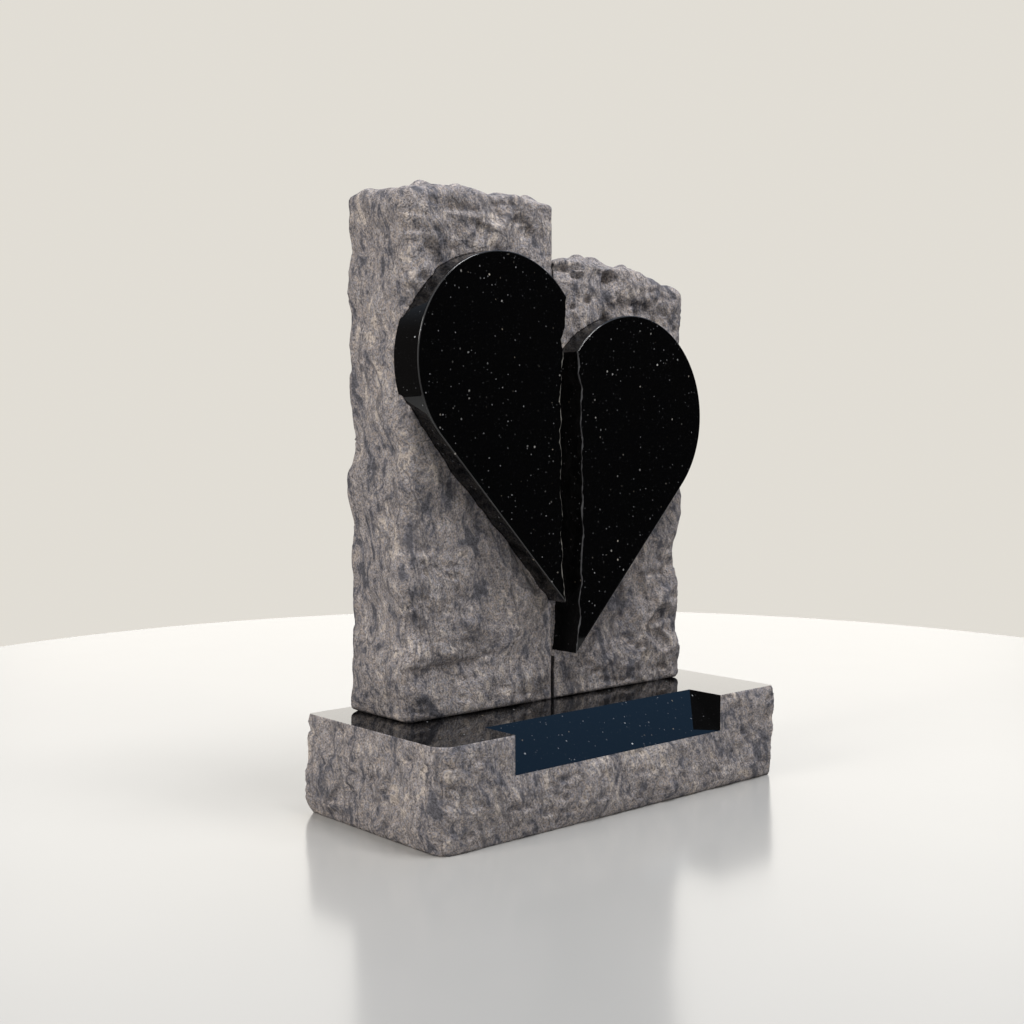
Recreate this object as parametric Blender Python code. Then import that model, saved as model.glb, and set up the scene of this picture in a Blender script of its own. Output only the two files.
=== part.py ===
"""Heart headstone: two rock-faced granite pillars on a rock-faced base, with a heart of polished
black granite that is split down the middle, one half let into each pillar and the right half lower.

Metres, +Z up. The origin is the centre of the base's underside and -Y is the front.
"""
import math

import bmesh
import bpy
from mathutils import Vector, noise

# Base block: pitched sides, polished top, and a polished sloping desk cut into its front
BASE_WIDTH = 0.762
BASE_DEPTH = 0.342
BASE_HEIGHT = 0.162
BASE_EDGE_RADIUS = 0.005
BASE_CORNER_RADIUS = 0.030
BASE_FOOT_TUCK = 0.004
DESK_WIDTH = 0.476
DESK_DEPTH = 0.071
DESK_DROP = 0.062

# Pillars: the inner faces and undersides are sawn flat, and every other side is pitched
PILLAR_WIDTH = 0.3055
PILLAR_THICKNESS = 0.140
PILLAR_GAP = 0.007
PILLAR_SETBACK = 0.171
PILLAR_EDGE_RADIUS = 0.005
PILLAR_CORNER_RADIUS = 0.014
LEFT_PILLAR_HEIGHT = 0.831
RIGHT_PILLAR_HEIGHT = 0.737
SHOULDER_START = 0.105
LEFT_SHOULDER_FALL = 0.007
RIGHT_SHOULDER_FALL = 0.040
SHOULDER_CURVE = 1.6

# Heart halves: a round lobe, a straight lower side tangent to it, and a broken edge at the split
HEART_HALF_WIDTH = 0.3115
HEART_HEIGHT = 0.572
HEART_CLEFT = 0.066
HEART_THICKNESS = 0.060
HEART_INSET = 0.014
HEART_GAP = 0.024
HEART_TIP_HEIGHT = 0.170
HEART_DROP = 0.088
HEART_ARRIS = 0.0018
SPLIT_BOW = 0.008
SPLIT_BITE = 0.0035
SPLIT_BITE_LENGTH = 0.078
SPLIT_RIPPLE_LENGTH = 0.030
SPLIT_FADE = 0.12

# Rock face: how far it stands proud of its arrises, and the heights and lengths of its forms
ROCK_BULGE = 0.0080
ROCK_WAVE = 0.0085
ROCK_WAVE_LENGTH = 0.105
ROCK_LUMP = 0.0060
ROCK_LUMP_LENGTH = 0.052
ROCK_SCOOP = 0.0070
ROCK_SCOOP_SPACING = 0.085
ROCK_SCOOP_RADIUS = 0.057
ARRIS_RUN = 0.012
BASE_RELIEF = 0.62
PILLAR_RELIEF = 1.0
BACK_RELIEF = 0.45

# Knobs left standing along the pillar tops: their distances from the inner face, and their size
LEFT_KNOBS = (0.020, 0.172, 0.248)
RIGHT_KNOBS = (0.095, 0.127, 0.205)
KNOB_SETBACK = 0.045
KNOB_HEIGHT = 0.018
KNOB_REACH = 0.022

# Clearance between pieces that touch, and the sizes of the facets
JOINT = 0.0003
FACET = 0.022
SPLIT_FACET = 0.020
ARC_STEPS = 40

# Starting points of the relief, one for each stone
BASE_SEED = Vector((3.1, 7.7, 1.3))
LEFT_SEED = Vector((11.9, 2.3, 5.1))
RIGHT_SEED = Vector((5.3, 17.1, 9.7))
LEFT_SPLIT_SEED = Vector((0.7, 4.9, 2.2))
RIGHT_SPLIT_SEED = Vector((2.1, 14.7, 6.6))

PILLAR_FRONT = PILLAR_SETBACK - BASE_DEPTH / 2
PILLAR_FOOT = BASE_HEIGHT + JOINT
LEFT_TIP = BASE_HEIGHT + HEART_TIP_HEIGHT
RIGHT_TIP = LEFT_TIP - HEART_DROP


def clear_scene():
    for thing in list(bpy.data.objects):
        bpy.data.objects.remove(thing)


def stone(name, colour, roughness):
    material = bpy.data.materials.new(name)
    material.use_nodes = True
    shader = material.node_tree.nodes["Principled BSDF"]
    shader.inputs["Base Color"].default_value = (*colour, 1.0)
    shader.inputs["Roughness"].default_value = roughness
    shader.inputs["Metallic"].default_value = 0.0
    material.diffuse_color = (*colour, 1.0)
    return material


def finish(name, work, materials):
    """Turns finished mesh work into a named object."""
    mesh = bpy.data.meshes.new(name)
    work.to_mesh(mesh)
    work.free()
    for material in materials:
        mesh.materials.append(material)
    thing = bpy.data.objects.new(name, mesh)
    bpy.context.scene.collection.objects.link(thing)
    return thing


def rock_height(point, seed):
    """How far a pitched face stands out: a bulge, long waves, lumps, and shallow round scoops."""
    wave = noise.noise(point / ROCK_WAVE_LENGTH + seed)
    lump = noise.noise(point / ROCK_LUMP_LENGTH + seed * 2.0)
    nearest = noise.voronoi(point / ROCK_SCOOP_SPACING + seed)[0][0] * ROCK_SCOOP_SPACING
    scoop = max(0.0, 1.0 - (nearest / ROCK_SCOOP_RADIUS) ** 2)
    return ROCK_BULGE + ROCK_WAVE * wave + ROCK_LUMP * lump - ROCK_SCOOP * (scoop - 0.5)


def arris_rise(distance):
    """A pitched face starts flush at a cut arris and reaches its full relief a little way in."""
    return 1.0 - math.exp(-max(distance, 0.0) / ARRIS_RUN)


def eased(point, low, high, rock, radius):
    """A point of the sharp block moved onto one with eased rock edges, and its outward direction,
    which is 1 long on a rock side."""
    inner = Vector(point)
    for axis in range(3):
        if (axis, 0) in rock:
            inner[axis] = max(inner[axis], low[axis] + radius)
        if (axis, 1) in rock:
            inner[axis] = min(inner[axis], high[axis] - radius)
    offset = point - inner
    reach = max(abs(part) for part in offset)
    outward = offset.normalized()
    return inner + outward * reach, outward * (reach / radius)


def knocked_off(point, outward, corner, inward, radius):
    """Rounds off the upright edge at corner. inward points from it into the block, in plan."""
    centre = corner + inward * radius
    offset = point.to_2d() - centre
    if offset.x * inward.x >= 0.0 or offset.y * inward.y >= 0.0:
        return point, outward
    turned = offset.normalized()
    spot = centre + turned * max(abs(offset.x), abs(offset.y))
    flat = turned * outward.to_2d().length
    return Vector((spot.x, spot.y, point.z)), Vector((flat.x, flat.y, outward.z))


def knob_height(distance, depth, knobs):
    """The knobs along a pillar's top, by distance from its inner face and depth from its front."""
    height = 0.0
    for knob in knobs:
        away = math.hypot(distance - knob, depth - KNOB_SETBACK) / KNOB_REACH
        height = max(height, KNOB_HEIGHT * math.exp(-away * away))
    return height


def levels(stops):
    """Evenly spaced values about one facet apart, with each of the stops among them."""
    values = [stops[0]]
    for start, end in zip(stops, stops[1:]):
        steps = max(1, round((end - start) / FACET))
        values += [start + (end - start) * step / steps for step in range(1, steps + 1)]
    return values


def block(name, stops, rock, shape, materials, top_material=0):
    """A closed block. Its rock sides are grids of facets placed by shape, and each flat side is
    one polygon. stops gives the values on each axis that get a row of corners, and rock holds
    (axis, 0 or 1) for each rock side."""
    grid = [levels(stops[axis]) for axis in range(3)]
    work = bmesh.new()
    made = {}

    def corner(axis, side, b, c):
        """The corner b and c steps along the side's own two directions."""
        index = [0, 0, 0]
        index[axis] = side * (len(grid[axis]) - 1)
        index[(axis + 1) % 3] = b
        index[(axis + 2) % 3] = c
        key = tuple(index)
        if key not in made:
            made[key] = work.verts.new(shape(Vector([grid[a][key[a]] for a in range(3)])))
        return made[key]

    for axis in range(3):
        last_b = len(grid[(axis + 1) % 3]) - 1
        last_c = len(grid[(axis + 2) % 3]) - 1
        for side in (0, 1):
            if (axis, side) in rock:
                cells = [(b, c) for b in range(last_b) for c in range(last_c)]
                loops = [[(b, c), (b + 1, c), (b + 1, c + 1), (b, c + 1)] for b, c in cells]
            else:
                border = [(b, 0) for b in range(last_b)]
                border += [(last_b, c) for c in range(last_c)]
                border += [(b, last_c) for b in range(last_b, 0, -1)]
                border += [(0, c) for c in range(last_c, 0, -1)]
                loops = [border]
            for loop in loops:
                around = [corner(axis, side, b, c) for b, c in loop]
                face = work.faces.new(around if side else around[::-1])
                face.material_index = top_material if (axis, side) == (2, 1) else 0
    return finish(name, work, materials)


def cutter(name, outline, place, materials, material_index=0):
    """A prism to cut with. place puts each outline point at the near end (0) or far end (1)."""
    work = bmesh.new()
    ends = [[work.verts.new(place(point, end)) for point in outline] for end in (0, 1)]
    work.faces.new(ends[0])
    work.faces.new(ends[1][::-1])
    for i in range(len(outline)):
        work.faces.new([ends[0][i], ends[0][i - 1], ends[1][i - 1], ends[1][i]])
    for face in work.faces:
        face.material_index = material_index
    bmesh.ops.recalc_face_normals(work, faces=work.faces[:])
    thing = finish(name, work, materials)
    thing.hide_render = True
    thing.display_type = "WIRE"
    return thing


def cut(target, tool):
    modifier = target.modifiers.new(tool.name, "BOOLEAN")
    modifier.operation = "DIFFERENCE"
    modifier.solver = "EXACT"
    modifier.object = tool


def make_base(pitched, polished):
    """The base, and the desk that slopes from its polished top down to its front face."""
    low = Vector((-BASE_WIDTH / 2, -BASE_DEPTH / 2, 0.0))
    high = Vector((BASE_WIDTH / 2, BASE_DEPTH / 2, BASE_HEIGHT))
    rock = {(0, 0), (0, 1), (1, 0), (1, 1)}
    desk_bottom = BASE_HEIGHT - DESK_DROP
    inward = Vector((1.0, 1.0))

    def arris_distance(point):
        level = min(BASE_HEIGHT - point.z, point.z)
        if point.y > 0.0:
            return level
        beside = max(abs(point.x) - DESK_WIDTH / 2, 0.0)
        below = max(desk_bottom - point.z, 0.0)
        return min(level, math.hypot(beside, below))

    def shape(point):
        moved, outward = eased(point, low, high, rock, BASE_EDGE_RADIUS)
        moved, outward = knocked_off(moved, outward, low.to_2d(), inward, BASE_CORNER_RADIUS)
        relief = BACK_RELIEF if outward.y > 0.5 else BASE_RELIEF
        lift = relief * rock_height(moved, BASE_SEED) * arris_rise(arris_distance(moved))
        tuck = BASE_FOOT_TUCK * math.exp(-moved.z / ARRIS_RUN)
        return moved + outward * (lift - tuck)

    across = (low.x, -DESK_WIDTH / 2, DESK_WIDTH / 2, high.x)
    stops = (across, (low.y, high.y), (low.z, desk_bottom, high.z))
    base = block("base", stops, rock, shape, [pitched, polished], top_material=1)

    # The wedge's sloping side runs through both desk edges and well past them
    edge = Vector((low.y + DESK_DEPTH, BASE_HEIGHT))
    slope = Vector((DESK_DEPTH, DESK_DROP))
    wedge = [edge + slope, edge - 2.0 * slope, edge - 2.0 * slope + Vector((0.0, 3.0 * DESK_DROP))]
    desk = cutter(
        "desk_cutter",
        wedge,
        lambda point, end: ((end - 0.5) * DESK_WIDTH, point.x, point.y),
        [pitched, polished],
        material_index=1,
    )
    cut(base, desk)


def half_heart(side, grow=0.0, past=0.0):
    """The outline of one half with its tip at height 0: the tip, the cleft, then round the lobe and
    down to the straight side. side is -1 for the left half. grow moves the curved and straight
    sides outwards, and past carries them that far over the split line."""
    radius = HEART_HALF_WIDTH + HEART_CLEFT - math.sqrt(2.0 * HEART_HALF_WIDTH * HEART_CLEFT)
    centre = Vector((HEART_HALF_WIDTH - radius, HEART_HEIGHT - radius))
    lean = math.atan2(centre.x, centre.y) + math.asin(radius / centre.length)
    first = math.acos(-centre.x / radius)
    lobe = []
    for step in range(ARC_STEPS + 1):
        angle = first - (first + lean) * step / ARC_STEPS
        lobe.append(centre + Vector((math.cos(angle), math.sin(angle))) * (radius + grow))
    outline = [Vector((-past, -(past * math.cos(lean) + grow) / math.sin(lean)))]
    if past > 0.0:
        along = (lobe[0].x + past) / math.sin(first)
        outline.append(lobe[0] + Vector((-math.sin(first), math.cos(first))) * along)
    return [Vector((side * (HEART_GAP / 2 + point.x), point.y)) for point in outline + lobe]


def split_hollow(depth, rise, height, seed):
    """How far the broken edge is hollowed behind the straight split line: a long bow with bites."""
    here = Vector((0.0, depth, rise))
    bow = math.sin(math.pi * rise / height)
    swing = noise.noise(here / SPLIT_BITE_LENGTH + seed)
    bite = abs(math.sin(math.pi * rise / SPLIT_BITE_LENGTH + swing))
    ripple = 0.5 + noise.noise(here / SPLIT_RIPPLE_LENGTH + seed)
    fade = min(1.0, rise / (SPLIT_FADE * height), (height - rise) / (SPLIT_FADE * height))
    return fade * (SPLIT_BOW * bow + SPLIT_BITE * (bite + ripple))


def inset_ring(ring, depth):
    """The ring of points moved inwards by depth, each corner along its own mitre."""
    area = sum(ring[i - 1].cross(ring[i]) for i in range(len(ring)))
    turn = math.copysign(1.0, area)
    moved = []
    for i, here in enumerate(ring):
        before = (here - ring[i - 1]).normalized()
        after = (ring[(i + 1) % len(ring)] - here).normalized()
        mitre = (before.orthogonal() + after.orthogonal()).normalized() * turn
        moved.append(here + mitre * depth / abs(mitre.dot(before.orthogonal())))
    return moved


def make_half(name, side, tip, seed, polished):
    """One half of the heart: a slab with an eased front arris and a broken edge at the split."""
    outline = half_heart(side)
    split_x = outline[0].x
    height = outline[1].y
    rows = max(4, round(height / SPLIT_FACET))
    front = PILLAR_FRONT + HEART_INSET - HEART_THICKNESS
    span = HEART_THICKNESS - HEART_ARRIS
    columns = max(2, round(span / SPLIT_FACET))
    depths = [0.0] + [HEART_ARRIS + span * column / columns for column in range(columns + 1)]
    work = bmesh.new()
    rings = []
    for depth in depths:
        rises = [height * row / rows for row in range(rows + 1)]
        broken = [Vector((split_x + side * split_hollow(depth, rise, height, seed), rise)) for rise in rises]
        ring = broken + outline[2:]
        if depth == 0.0:
            ring = inset_ring(ring, HEART_ARRIS)
        rings.append([work.verts.new((point.x, front + depth, tip + point.y)) for point in ring])
    work.faces.new(rings[0])
    work.faces.new(rings[-1][::-1])
    for near, far in zip(rings, rings[1:]):
        for i in range(len(near)):
            work.faces.new([near[i], near[i - 1], far[i - 1], far[i]])
    bmesh.ops.recalc_face_normals(work, faces=work.faces[:])
    finish(name, work, [polished])


def make_pillar(name, side, height, shoulder, knobs, tip, seed, pitched):
    """One pillar. side is -1 for the left one; shoulder is how far its outer top corner falls."""
    inner_x = side * PILLAR_GAP / 2
    outer_x = side * (PILLAR_GAP / 2 + PILLAR_WIDTH)
    back = PILLAR_FRONT + PILLAR_THICKNESS
    low = Vector((min(inner_x, outer_x), PILLAR_FRONT, PILLAR_FOOT))
    high = Vector((max(inner_x, outer_x), back, PILLAR_FOOT + height))
    outer = (0, 0) if side < 0 else (0, 1)
    rock = {outer, (1, 0), (1, 1), (2, 1)}
    corner = Vector((outer_x, PILLAR_FRONT))
    inward = Vector((-side, 1.0))

    def shape(point):
        moved, outward = eased(point, low, high, rock, PILLAR_EDGE_RADIUS)
        moved, outward = knocked_off(moved, outward, corner, inward, PILLAR_CORNER_RADIUS)
        from_inner = abs(moved.x - inner_x)
        from_foot = moved.z - PILLAR_FOOT
        relief = BACK_RELIEF if outward.y > 0.5 else PILLAR_RELIEF
        lift = relief * rock_height(moved, seed) * arris_rise(min(from_inner, from_foot))
        knob = max(outward.z, 0.0) * knob_height(from_inner, moved.y - PILLAR_FRONT, knobs)
        slope = max(from_inner - SHOULDER_START, 0.0) / (PILLAR_WIDTH - SHOULDER_START)
        fall = shoulder * slope**SHOULDER_CURVE * from_foot / height
        return moved + outward * lift + Vector((0.0, 0.0, knob - fall))

    stops = [(low[axis], high[axis]) for axis in range(3)]
    pillar = block(name, stops, rock, shape, [pitched])

    # The rebate that the slab is let into runs out through the pillar's sawn inner face
    floor = PILLAR_FRONT + HEART_INSET + JOINT
    rebate = cutter(
        name + "_rebate_cutter",
        half_heart(side, grow=JOINT, past=HEART_GAP / 2),
        lambda point, end: (point.x, floor - end * HEART_THICKNESS, tip + point.y),
        [pitched],
    )
    cut(pillar, rebate)


def main():
    clear_scene()
    pitched = stone("pitched_granite", (0.33, 0.30, 0.29), 0.75)
    polished = stone("polished_black_granite", (0.006, 0.006, 0.007), 0.04)
    make_base(pitched, polished)
    make_pillar(
        "left_pillar",
        -1,
        LEFT_PILLAR_HEIGHT,
        LEFT_SHOULDER_FALL,
        LEFT_KNOBS,
        LEFT_TIP,
        LEFT_SEED,
        pitched,
    )
    make_pillar(
        "right_pillar",
        1,
        RIGHT_PILLAR_HEIGHT,
        RIGHT_SHOULDER_FALL,
        RIGHT_KNOBS,
        RIGHT_TIP,
        RIGHT_SEED,
        pitched,
    )
    make_half("left_heart_half", -1, LEFT_TIP, LEFT_SPLIT_SEED, polished)
    make_half("right_heart_half", 1, RIGHT_TIP, RIGHT_SPLIT_SEED, polished)


main()
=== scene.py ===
# %% [markdown]
# # Heart headstone
# This memorial is five stones. A wide base lies on the ground, two rock-faced pillars of unequal
# height stand on it, and each pillar carries one half of a polished black heart. The right half
# sits lower, as if the heart had broken. The frame file holds the plain solids of the five stones,
# and the cells below replace them with stones that have the relief and the finish of real granite.

import math

import bmesh
import bpy
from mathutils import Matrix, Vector, noise


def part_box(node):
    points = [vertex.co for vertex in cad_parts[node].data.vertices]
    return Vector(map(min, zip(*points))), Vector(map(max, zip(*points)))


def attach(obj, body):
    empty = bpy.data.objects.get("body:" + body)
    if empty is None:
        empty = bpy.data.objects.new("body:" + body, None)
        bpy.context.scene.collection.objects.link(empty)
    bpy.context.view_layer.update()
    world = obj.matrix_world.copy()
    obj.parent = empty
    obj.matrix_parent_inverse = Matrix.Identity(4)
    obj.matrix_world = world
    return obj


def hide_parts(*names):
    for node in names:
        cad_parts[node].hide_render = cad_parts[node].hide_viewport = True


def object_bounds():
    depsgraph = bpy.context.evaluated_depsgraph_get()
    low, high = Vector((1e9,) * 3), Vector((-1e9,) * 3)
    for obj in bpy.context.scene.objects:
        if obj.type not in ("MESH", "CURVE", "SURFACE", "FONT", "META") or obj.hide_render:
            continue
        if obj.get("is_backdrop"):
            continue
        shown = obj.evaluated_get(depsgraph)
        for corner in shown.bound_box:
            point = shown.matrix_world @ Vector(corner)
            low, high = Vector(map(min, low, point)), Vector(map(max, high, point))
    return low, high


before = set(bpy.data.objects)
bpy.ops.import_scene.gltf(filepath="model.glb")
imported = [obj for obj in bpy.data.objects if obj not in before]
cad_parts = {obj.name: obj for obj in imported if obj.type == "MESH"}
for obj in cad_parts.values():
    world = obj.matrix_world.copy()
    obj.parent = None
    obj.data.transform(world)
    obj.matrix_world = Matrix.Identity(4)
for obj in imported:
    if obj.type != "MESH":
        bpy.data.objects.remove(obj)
solid_low, solid_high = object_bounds()
print("solids reach from", [round(v, 4) for v in solid_low], "to", [round(v, 4) for v in solid_high])

# %% [markdown]
# ## Sizes
# A mason cuts these stones to a drawing, so each size has a name. They are metres, the origin is
# the middle of the base's underside, and -Y is the front. They are the sizes of the solids, since
# the finished stones have to fill the same space.

# %% Sizes of the base and the pillars
BASE_WIDTH = 0.762
BASE_DEPTH = 0.342
BASE_HEIGHT = 0.162
BASE_EDGE_RADIUS = 0.005
BASE_CORNER_RADIUS = 0.030
BASE_FOOT_TUCK = 0.004
DESK_WIDTH = 0.476
DESK_DEPTH = 0.071
DESK_DROP = 0.062

PILLAR_WIDTH = 0.3055
PILLAR_THICKNESS = 0.140
PILLAR_GAP = 0.007
PILLAR_FRONT = 0.0
PILLAR_EDGE_RADIUS = 0.005
PILLAR_CORNER_RADIUS = 0.014
LEFT_PILLAR_HEIGHT = 0.831
RIGHT_PILLAR_HEIGHT = 0.737
SHOULDER_START = 0.105
LEFT_SHOULDER_FALL = 0.007
RIGHT_SHOULDER_FALL = 0.040
SHOULDER_CURVE = 1.6

JOINT = 0.0003
PILLAR_FOOT = BASE_HEIGHT + JOINT
print("the left pillar's top is", round(PILLAR_FOOT + LEFT_PILLAR_HEIGHT, 3), "m above the ground")

# %% Sizes of the heart
HEART_HALF_WIDTH = 0.3115
HEART_HEIGHT = 0.572
HEART_CLEFT = 0.066
HEART_THICKNESS = 0.060
HEART_INSET = 0.014
HEART_GAP = 0.024
HEART_TIP_HEIGHT = 0.170
HEART_DROP = 0.088
HEART_ARRIS = 0.0018

LEFT_TIP = BASE_HEIGHT + HEART_TIP_HEIGHT
RIGHT_TIP = LEFT_TIP - HEART_DROP
print("the halves' tips are", round(LEFT_TIP, 3), "and", round(RIGHT_TIP, 3), "m above the ground")

# %% [markdown]
# ## The view
# The picture was taken from the front left, a little above the middle of the stone and looking
# slightly down, with a lens of normal length. The camera stands at the same place.

# %% Camera
VIEW_FROM = (-1.6496, -1.7507, 0.6306)
VIEW_DOWN = 0.0621
VIEW_TURN = -0.7269

lens = bpy.data.cameras.new("view")
lens.lens = 50.0
lens.sensor_width = 36.0
view = bpy.data.objects.new("view", lens)
view.location = VIEW_FROM
view.rotation_euler = (math.pi / 2 - VIEW_DOWN, 0.0, VIEW_TURN)
bpy.context.scene.collection.objects.link(view)
bpy.context.scene.camera = view
print("the camera stands", round(math.hypot(*VIEW_FROM), 2), "m from the middle of the base")

# %% [markdown]
# ## Shader maths
# A finish is a network of small nodes. Python expressions are easier to read than a long list of
# links, so one class holds a socket, and a sum or product of it adds the Math node that works it
# out. Every other node comes from its make method.


# %% A value in a node tree
class Value:
    """One output socket of a node tree, which can be used in Python expressions."""

    def __init__(self, tree, socket=None):
        self.tree = tree
        self.socket = socket

    def make(self, kind, settings=None, given=None, output=0):
        """Adds a node: first its settings, then a value or a link for each of its sockets."""
        node = self.tree.nodes.new(kind)
        for name, setting in (settings or {}).items():
            if name == "stops":
                self.fill_ramp(node.color_ramp, setting)
            else:
                setattr(node, name, setting)
        for name, value in (given or {}).items():
            if isinstance(value, Value):
                self.tree.links.new(value.socket, node.inputs[name])
            else:
                node.inputs[name].default_value = value
        return Value(self.tree, node.outputs[output])

    def fill_ramp(self, ramp, stops):
        """Gives a colour ramp its stops, each a position and a colour."""
        while len(ramp.elements) < len(stops):
            ramp.elements.new(1.0)
        for element, (position, colour) in zip(ramp.elements, stops):
            element.position = position
            element.color = (*colour, 1.0)

    def maths(self, operation, first, second=0.0):
        return self.make("ShaderNodeMath", {"operation": operation}, {0: first, 1: second})

    def __add__(self, other):
        return self.maths("ADD", self, other)

    def __radd__(self, other):
        return self.maths("ADD", other, self)

    def __sub__(self, other):
        return self.maths("SUBTRACT", self, other)

    def __rsub__(self, other):
        return self.maths("SUBTRACT", other, self)

    def __mul__(self, other):
        return self.maths("MULTIPLY", self, other)

    def __rmul__(self, other):
        return self.maths("MULTIPLY", other, self)

    def step(self, low, high):
        """0 below low, 1 above high and a soft slope between them."""
        settings = {"interpolation_type": "SMOOTHSTEP"}
        return self.make("ShaderNodeMapRange", settings, {"Value": self, "From Min": low, "From Max": high})

    def vector(self, operation, first, second):
        return self.make("ShaderNodeVectorMath", {"operation": operation}, {0: first, 1: second})

    def mixed(self, amount, first, second, blend="MIX"):
        """A mix of two colours: first where amount is 0, second where it is 1."""
        settings = {"data_type": "RGBA", "blend_type": blend}
        return self.make("ShaderNodeMix", settings, {0: amount, 6: first, 7: second}, output=2)

    def fractal(self, place, scale, detail=2.0, roughness=0.5, output=0):
        given = {"Vector": place, "Scale": scale, "Detail": detail, "Roughness": roughness}
        return self.make("ShaderNodeTexNoise", {}, given, output)

    def cells(self, place, scale, output=0):
        return self.make("ShaderNodeTexVoronoi", {}, {"Vector": place, "Scale": scale}, output)


def new_finish(name, roughness, specular=0.5):
    """A stone finish: its material, its shader's sockets, and the place of a point on the stone."""
    material = bpy.data.materials.new(name)
    material.use_nodes = True
    shader = material.node_tree.nodes["Principled BSDF"]
    shader.inputs["Roughness"].default_value = roughness
    shader.inputs["Specular IOR Level"].default_value = specular
    place = Value(material.node_tree).make("ShaderNodeTexCoord", output=3)
    return material, shader, place


def feed(shader, socket, value):
    value.tree.links.new(value.socket, shader.inputs[socket])


print("shader maths is ready")

# %% [markdown]
# ## Pitched granite
# The rough sides are a granite of beige, lilac grey and blue-grey crystals one to three
# millimetres across. The colours lie in long wavy bands, because the rock flowed while it was hot.
# One fractal noise, stretched along the bands and bent by two others, picks the colour together with
# a finer one that gives the clusters of crystals. The same bent place carries a few dark veins,
# which curl where a noise crosses its middle value. The salt and pepper of single crystals
# and the dark mica are left almost unbent, because bent grain looks like wool.

# %% Finish of the pitched sides
BANDS_PER_METRE = 32.0
CLUSTERS_PER_METRE = 84.0
CRYSTALS_PER_METRE = 330.0
VEINS_PER_METRE = 14.0
MICA_PER_METRE = 210.0
VEIN_COLOUR = (0.068, 0.066, 0.076, 1.0)
MICA_COLOUR = (0.040, 0.040, 0.046, 1.0)
BAND_COLOURS = [
    (0.33, (0.105, 0.102, 0.114)),
    (0.40, (0.172, 0.166, 0.184)),
    (0.45, (0.290, 0.255, 0.236)),
    (0.49, (0.215, 0.208, 0.228)),
    (0.54, (0.365, 0.311, 0.273)),
    (0.58, (0.255, 0.246, 0.264)),
    (0.65, (0.445, 0.388, 0.345)),
]


def bent_by(place, scale, reach, detail=2.0):
    """The place moved up to about reach by a noise, so that patterns on it swirl."""
    sway = place.vector("SUBTRACT", place.fractal(place, scale, detail, 0.5, output=1), (0.5, 0.5, 0.5))
    return place.vector("ADD", place, place.vector("MULTIPLY", sway, (reach, reach, reach)))


def grey(value):
    return value.make("ShaderNodeCombineColor", {}, {name: value for name in ("Red", "Green", "Blue")})


def pitched_finish(name, brightness):
    """The banded granite. A lower brightness darkens all of it, which paints in the shade of the narrow
    joint between the pillars.
    """
    material, shader, place = new_finish(name, 0.74, 0.3)
    leant = place.make("ShaderNodeMapping", {}, {"Vector": place, "Rotation": (0.10, 0.24, 0.0)})
    flowing = bent_by(bent_by(leant, 4.5, 0.13), 24.0, 0.020)
    banded = place.vector("MULTIPLY", flowing, (1.0, 1.0, 0.32))
    band = place.fractal(banded, BANDS_PER_METRE, 4.0, 0.62)
    clustered = place.vector("MULTIPLY", flowing, (1.0, 1.0, 0.6))
    cluster = place.fractal(clustered, CLUSTERS_PER_METRE, 2.0, 0.5)
    shade = band * 0.85 + cluster * 0.60 - 0.225
    colour = place.make("ShaderNodeValToRGB", {"stops": BAND_COLOURS}, {"Fac": shade})
    crystal = place.fractal(leant, CRYSTALS_PER_METRE, 2.0, 0.65)
    speck = crystal.step(0.30, 0.70) * 0.75 + 0.38 + cluster * 0.50
    colour = place.mixed(1.0, colour, grey(speck * brightness), "MULTIPLY")
    vein = place.maths("ABSOLUTE", place.fractal(banded, VEINS_PER_METRE, 3.0, 0.55) - 0.5)
    colour = place.mixed((1.0 - vein.step(0.003, 0.020)) * 0.55, colour, VEIN_COLOUR)
    mica = place.fractal(bent_by(leant, 60.0, 0.006), MICA_PER_METRE, 1.0, 0.5).step(0.60, 0.67)
    colour = place.mixed(mica * 0.50, colour, MICA_COLOUR)
    feed(shader, "Base Color", colour)
    feed(shader, "Roughness", 0.88 - crystal * 0.24)
    rough = crystal * 0.8 + cluster * 1.0 - mica * 0.3
    bump = place.make("ShaderNodeBump", {}, {"Strength": 0.85, "Distance": 0.0020, "Height": rough})
    feed(shader, "Normal", bump)
    return material


pitched_granite = pitched_finish("pitched_granite", 1.0)
# The dark copy is painted shade: it stands for the shadow in the joint where the pillars' sawn inner faces
# meet, and it also goes on the undersides.
sawn_granite_painted_shade = pitched_finish("sawn_granite_painted_shade", 0.30)
print("pitched granite has", len(pitched_granite.node_tree.nodes), "nodes")

# %% [markdown]
# ## Polished black granite
# The heart, the top of the base and its desk are a black granite with bright flecks, polished to a
# mirror. The flecks are small crystals of feldspar, most of them faint and a few bright or
# golden. A Voronoi pattern scatters them: a fleck is drawn only close to the middle of a cell, and
# each cell's random colour sets how bright that fleck is. Where the edge is eased by hand, bruised
# or broken, the same stone is rougher and scatters more light. These finishes differ in their
# roughness and in how grey they are. The grey of the eased edge is a painted highlight for the
# bright line that its polished rounding catches. The bruised corner is greyer because its crystals
# are crushed, and the copy on the left half's break is much paler still, a painted highlight for
# the light that this corner catches. The broken one also has a relief of small shells and little shine.

# %% Finish of the polished faces
PALE_FLECK = (0.72, 0.74, 0.76, 1.0)
GOLDEN_FLECK = (0.70, 0.60, 0.44, 1.0)
GREY_FLECK = (0.52, 0.53, 0.55, 1.0)
DUST_FLECK = (0.20, 0.21, 0.22, 1.0)


def flecks(place, scale, radius, brightness):
    """Bright spots at the middle of some cells. brightness is the power of each cell's random
    value, so a high one leaves few bright spots. Also gives a second random value."""
    spot = bent_by(place, 420.0, 0.0022, 1.0)
    random = place.cells(spot, scale, output=1)
    chance = place.make("ShaderNodeSeparateColor", {}, {"Color": random})
    tone = place.make("ShaderNodeSeparateColor", {}, {"Color": random}, output=1)
    inside = 1.0 - place.cells(spot, scale).step(radius * scale * 0.5, radius * scale)
    return inside * place.maths("POWER", chance, brightness), tone


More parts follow.
